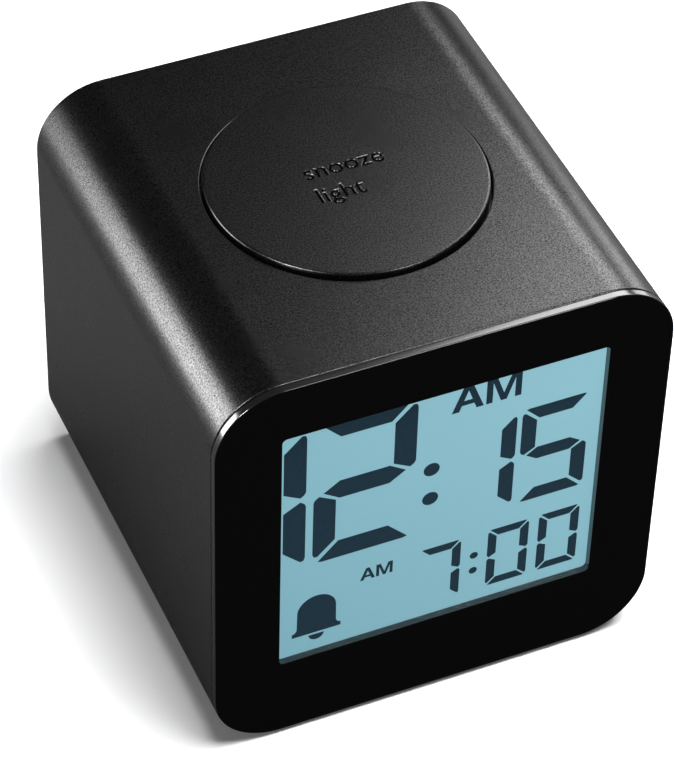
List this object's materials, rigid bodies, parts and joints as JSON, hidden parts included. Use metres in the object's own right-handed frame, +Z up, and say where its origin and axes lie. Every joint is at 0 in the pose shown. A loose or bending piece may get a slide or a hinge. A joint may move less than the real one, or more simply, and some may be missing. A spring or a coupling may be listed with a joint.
{
  "type": "digital alarm clock",
  "caption": "Cube digital alarm clock: flat display front, large round snooze button on top, setting keys, alarm switch and battery bay at the rear.",
  "frame": {"origin": "centre of the bounding box at the level of the feet", "axes": "+Z up, the display faces -Y, +X to the right of someone who reads the display"},
  "size_m": [0.07, 0.071, 0.0717],
  "materials": {
    "satin_black_plastic": "fine satin grain",
    "gloss_black_plastic": "polished",
    "clear_pane": "clear",
    "display_glass": "satin display face",
    "clear_acrylic": "clear",
    "white_film": "matte",
    "grey_moulding": "matte",
    "black_rubber": "matte",
    "circuit_board": "solder mask",
    "black_component": "satin",
    "bright_metal": "satin",
    "zinc_steel": "zinc plated",
    "button_plastic": "fine satin",
    "cover_plastic": "fine spark grain",
    "key_plastic": "satin",
    "cell_wrap": "plain printed wrap",
    "nickel_strip": "nickel plated",
    "ribbon_cable": "matte"
  },
  "bodies": {
    "clock_case": {"housing": "satin_black_plastic", "front_frame": "gloss_black_plastic", "display_window": "clear_pane", "lcd_front_glass": "display_glass", "lcd_rear_glass": "display_glass", "light_guide": "clear_acrylic", "diffuser_film": "white_film", "reflector_film": "white_film", "backlight_leds": "white_film", "display_carrier": "grey_moulding", "button_holder": "grey_moulding", "zebra_strip": "black_rubber", "feet": "black_rubber", "button_bellows": "black_rubber", "main_board": "circuit_board", "snooze_board": "circuit_board", "key_board": "circuit_board", "clock_chip": "black_component", "board_parts": "black_component", "snooze_switch": "black_component", "key_switches": "black_component", "alarm_switch": "black_component", "buzzer": "black_component", "timing_crystal": "bright_metal", "board_screws": "zinc_steel", "rear_screws": "zinc_steel", "key_board_screws": "zinc_steel", "holder_screws": "zinc_steel", "rear_cover": "cover_plastic", "battery_cell_1": "cell_wrap", "battery_cell_2": "cell_wrap", "plus_contact": "nickel_strip", "minus_contact": "nickel_strip", "link_contact": "nickel_strip", "link_ribbon": "ribbon_cable"},
    "snooze_cap": {"snooze_button": "button_plastic", "snooze_plunger": "white_film"},
    "time_setter": {"time_key": "key_plastic", "time_plunger": "white_film"},
    "alarm_setter": {"alarm_key": "key_plastic", "alarm_plunger": "white_film"},
    "hour_setter": {"hour_key": "key_plastic", "hour_plunger": "white_film"},
    "minute_setter": {"minute_key": "key_plastic", "minute_plunger": "white_film"},
    "alarm_slider": {"alarm_knob": "key_plastic"},
    "door": {"battery_door": "cover_plastic"}
  },
  "joints": [
    {"name": "snooze_press", "type": "slide", "parent": "clock_case", "child": "snooze_cap", "axis": [0, 0, -1], "range_m": [0, 0.0006], "stiffness_N_per_m": 1500, "springref_m": -0.0006, "deforming": ["button_bellows"]},
    {"name": "time_press", "type": "slide", "parent": "clock_case", "child": "time_setter", "axis": [0, -1, 0], "range_m": [0, 0.0005], "stiffness_N_per_m": 1500, "springref_m": -0.0006},
    {"name": "alarm_press", "type": "slide", "parent": "clock_case", "child": "alarm_setter", "axis": [0, -1, 0], "range_m": [0, 0.0005], "stiffness_N_per_m": 1500, "springref_m": -0.0006},
    {"name": "hour_press", "type": "slide", "parent": "clock_case", "child": "hour_setter", "axis": [0, -1, 0], "range_m": [0, 0.0005], "stiffness_N_per_m": 1500, "springref_m": -0.0006},
    {"name": "minute_press", "type": "slide", "parent": "clock_case", "child": "minute_setter", "axis": [0, -1, 0], "range_m": [0, 0.0005], "stiffness_N_per_m": 1500, "springref_m": -0.0006},
    {"name": "alarm_slide", "type": "slide", "parent": "clock_case", "child": "alarm_slider", "axis": [1, 0, 0], "range_m": [0, 0.0025]},
    {"name": "battery_door_tilt", "type": "hinge", "parent": "clock_case", "child": "door", "pos_m": [0, 0.034, 0.0149], "axis": [-1, 0, 0], "range_deg": [0, 35]}
  ]
}
